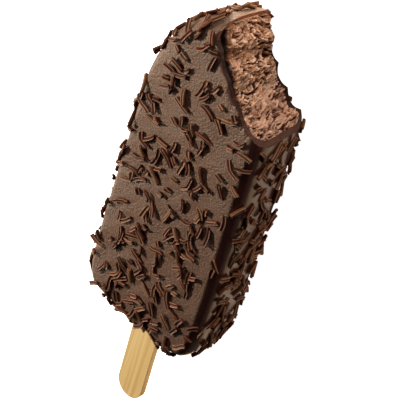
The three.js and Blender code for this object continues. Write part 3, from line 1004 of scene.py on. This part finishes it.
def sprinkle_mould(sides):
    """One straight flake of length 2 and radius 1: a rod with a groove along its top."""
    bpy.ops.object.select_all(action="DESELECT")
    bpy.ops.mesh.primitive_cylinder_add(
        vertices=sides, radius=1, depth=2, end_fill_type="TRIFAN", rotation=(0, math.pi / 2, 0))
    mould = active()
    bpy.ops.object.transform_apply(location=True, rotation=True, scale=True)
    edit(mould)
    bpy.ops.mesh.select_mode(type="EDGE")
    bpy.ops.object.mode_set(mode="OBJECT")
    for edge in mould.data.edges:
        a, b = (mould.data.vertices[i].co for i in edge.vertices)
        edge.select = abs(a.x - b.x) > 0.5
    bpy.ops.object.mode_set(mode="EDIT")
    bpy.ops.mesh.subdivide(number_cuts=5)
    done()
    points = np.array([v.co for v in mould.data.vertices])
    faces = [tuple(face.vertices) for face in mould.data.polygons]
    bpy.data.objects.remove(mould)
    reach = np.abs(points[:, 0])
    off_top = np.degrees(np.arctan2(points[:, 1], points[:, 2]))
    turned = np.radians(np.interp(off_top, *both_sides(ROD_TURNS, FLAKE_TURNS)))
    radius = np.interp(np.abs(off_top), RADII_TURNS, FLAKE_RADII)
    # How light each point is painted: a painted highlight on the rims of the groove.
    crest_highlight = np.interp(np.abs(off_top), ROD_TURNS, FLAKE_CREST_HIGHLIGHT)
    points[:, 1:] = np.column_stack([np.sin(turned), np.cos(turned)]) * (
        radius * np.hypot(points[:, 1], points[:, 2]) * np.interp(reach, [0.67, 1], [1, 0.9]))[:, None]
    points[:, 0] = np.sign(points[:, 0]) * np.interp(reach, [0, 0.33, 0.67, 1], [0, 0.45, 0.93, 1])
    return points, faces, crest_highlight


def sprinkles():
    """All sprinkles as one mesh, each bowed or kinked, rolled, tapered and toned in its own way, those on
    the +X side and the top end toned lighter as painted light.
    """
    mould, mould_faces, crest_highlight = sprinkle_mould(16)
    t = mould[:, 0]
    stream = number_stream(77)
    points, faces, shades = [], [], []
    for spot in sprinkle_places():
        taper, roll, shade, kink, slant = (next(stream) for _ in range(5))
        half = spot["length"] / 2
        radius = SPRINKLE_THICKNESS / 2 * (1 - 0.2 * (taper - 0.5) * t) * mix(0.9, 1.08, taper)
        turn = mix(-KEEL, KEEL, roll)
        across = mould[:, 1] * math.cos(turn) - mould[:, 2] * math.sin(turn)
        upwards = mould[:, 1] * math.sin(turn) + mould[:, 2] * math.cos(turn)
        bent = np.clip(t - mix(-0.5, 0.5, slant), 0, 1) if kink > 1 - KINKED else 0 * t
        local = np.column_stack([
            t * half + mix(-0.5, 0.5, slant) * across * radius,
            across * radius + spot["bow"] * spot["length"] * (0.33 - t * t) + half * bent * 0.8,
            upwards * radius,
        ])
        matrix = np.array(lay(spot))
        faces += [tuple(i + len(points) * len(mould) for i in face) for face in mould_faces]
        # Painted light: the sprinkles on the +X side and on the top end get the lighter tan tones, as if
        # lit.
        if max(spot["normal"].x, spot["normal"].y) > 0.6:
            shade = mix(0.6, 1.0, shade)
        placed = local @ matrix[:3, :3].T + matrix[:3, 3]
        placed[:, 2] = np.maximum(placed[:, 2], -BAR_THICKNESS / 2 - RESTING_DEPTH)
        points.append(placed)
        shades.append(np.full(len(mould), shade))
    mesh = bpy.data.meshes.new("sprinkles")
    mesh.from_pydata(np.vstack(points).tolist(), [], faces)
    for name, values in (("shade", np.concatenate(shades)), ("crest_highlight", np.tile(crest_highlight, len(points)))):
        mesh.attributes.new(name, "FLOAT", "POINT").data.foreach_set("value", values)
    piece = bpy.data.objects.new("sprinkles", mesh)
    bpy.context.scene.collection.objects.link(piece)
    edit(piece)
    bpy.ops.mesh.select_all(action="SELECT")
    bpy.ops.mesh.normals_make_consistent(inside=False)
    done()
    pick(piece)
    bpy.ops.object.shade_smooth_by_angle(angle=math.radians(38))
    return settle(piece, "sprinkles", [sprinkle_chocolate()], "chocolate", "coating")


chocolate_shell()
ice_cream_block()
birch_stick()
sprinkles()

# ------------------------------------------------------------------ floor, lights and camera


def at(x, y, z):
    """A place in the frame from millimetres off the bar's middle."""
    return ORIGIN + Vector((x, y + BAR_LENGTH / 2, z)) / 1000


def pale_floor():
    """A white sweep that the bar itself hardly sees, so that its shaded side stays dark."""
    bpy.ops.object.select_all(action="DESELECT")
    bpy.ops.mesh.primitive_plane_add(size=FLOOR_SPAN)
    floor = active()
    floor.name = "floor"
    material, tree, shader = new_material("pale_floor", Roughness=0.9, Specular_IOR_Level=0.1)
    field = uneven(tree, 300.0, 40.0, 5.0)
    white = blend(tree, spread(tree, field["Patches"], 0.3, 0.7), colour("f6f6f6"), colour("fbfbfb"))
    seen = node(tree, "ShaderNodeLightPath").outputs["Is Camera Ray"]
    tree.links.new(blend(tree, seen, colour("57524e"), white), shader.inputs["Base Color"])
    tree.links.new(blend(tree, seen, (0, 0, 0, 1), (1, 1, 1, 1)), shader.inputs["Emission Color"])
    shader.inputs["Emission Strength"].default_value = 1.0
    floor.data.materials.append(material)


def soft_light(name, direction, distance, size, power, tint):
    """An area light so far from the middle of the bar, facing it. Distances in metres."""
    lamp = bpy.data.lights.new(name, "AREA")
    lamp.shape = "DISK"
    lamp.size = size
    lamp.energy = power
    lamp.color = tint
    piece = bpy.data.objects.new(name, lamp)
    bpy.context.scene.collection.objects.link(piece)
    away = Vector(direction).normalized()
    piece.location = at(0, 0, 0) + away * distance
    piece.rotation_euler = away.to_track_quat("Z", "Y").to_euler()


def glow_strip(name, x, y, width, length, radiance, tint):
    """A lit panel lying on the table beside the bar, out of the camera's sight. Sizes in mm."""
    lamp = bpy.data.lights.new(name, "AREA")
    lamp.shape = "RECTANGLE"
    lamp.size = width / 1000
    lamp.size_y = length / 1000
    lamp.energy = math.pi * lamp.size * lamp.size_y * radiance
    lamp.color = tint
    piece = bpy.data.objects.new(name, lamp)
    bpy.context.scene.collection.objects.link(piece)
    piece.location = at(x, y, -BAR_THICKNESS / 2 - 0.5)
    piece.rotation_euler = (math.pi, 0, 0)
    piece.visible_camera = False


def camera():
    place, target, roll = at(151.5, 186.3, 231.3), at(3.8, -5.0, 1.7), math.radians(-113.37)
    data = bpy.data.cameras.new("camera")
    data.lens = 111.94
    data.sensor_width = 36
    data.clip_start = 0.01
    piece = bpy.data.objects.new("camera", data)
    bpy.context.scene.collection.objects.link(piece)
    level = (place - target).to_track_quat("Z", "Y").to_matrix()
    piece.matrix_world = Matrix.Translation(place) @ (level @ Matrix.Rotation(roll, 3, "Z")).to_4x4()
    bpy.context.scene.camera = piece


def studio(strength):
    """A dim room: grey overhead, darker round the horizon."""
    world = bpy.data.worlds.new("studio")
    world.use_nodes = True
    tree = world.node_tree
    away = node(tree, "ShaderNodeTexCoord").outputs["Generated"]
    height = node(tree, "ShaderNodeSeparateXYZ", inputs={"Vector": away}).outputs["Z"]
    tone = ramp(tree, spread(tree, height, 0.0, 1.0), (0.0, (0.05, 0.05, 0.05, 1)),
                (0.3, (0.25, 0.25, 0.25, 1)), (1.0, (1, 1, 1, 1)))
    tree.links.new(tone, tree.nodes["Background"].inputs["Color"])
    tree.nodes["Background"].inputs["Strength"].default_value = strength
    bpy.context.scene.world = world


pale_floor()
WARM = (1.0, 0.93, 0.80)
soft_light("key", (-0.775, 0.08, 0.62), 0.28, 0.024, 1.36, WARM)
soft_light("sheen", (-0.7, -0.3, 0.65), 0.45, 0.35, 0.1, WARM)
soft_light("rim", (-0.82, -0.57, 0.08), 0.6, 0.3, 2.3, WARM)
soft_light("top", (-0.15, 0.93, 0.32), 0.6, 0.07, 1.4, WARM)
soft_light("fill", (0.3, 0.94, 0.08), 0.45, 0.25, 1.3, WARM)
soft_light("side", (0.95, 0.22, 0.14), 0.5, 0.2, 0.2, (1.0, 0.86, 0.66))
glow_strip("side_glow", 39, -4, 23, 120, 0.85, (1.0, 0.77, 0.53))
glow_strip("foot_glow", 24, -4, 6, 120, 0.75, (1.0, 0.74, 0.60))
glow_strip("stick_glow", 15, -72, 12, 36, 4.0, (1.0, 0.74, 0.52))
glow_strip("top_glow", -16, 64, 60, 26, 7.5, (1.0, 0.86, 0.68))
studio(0.04)
bpy.context.scene.view_settings.view_transform = "Standard"
camera()
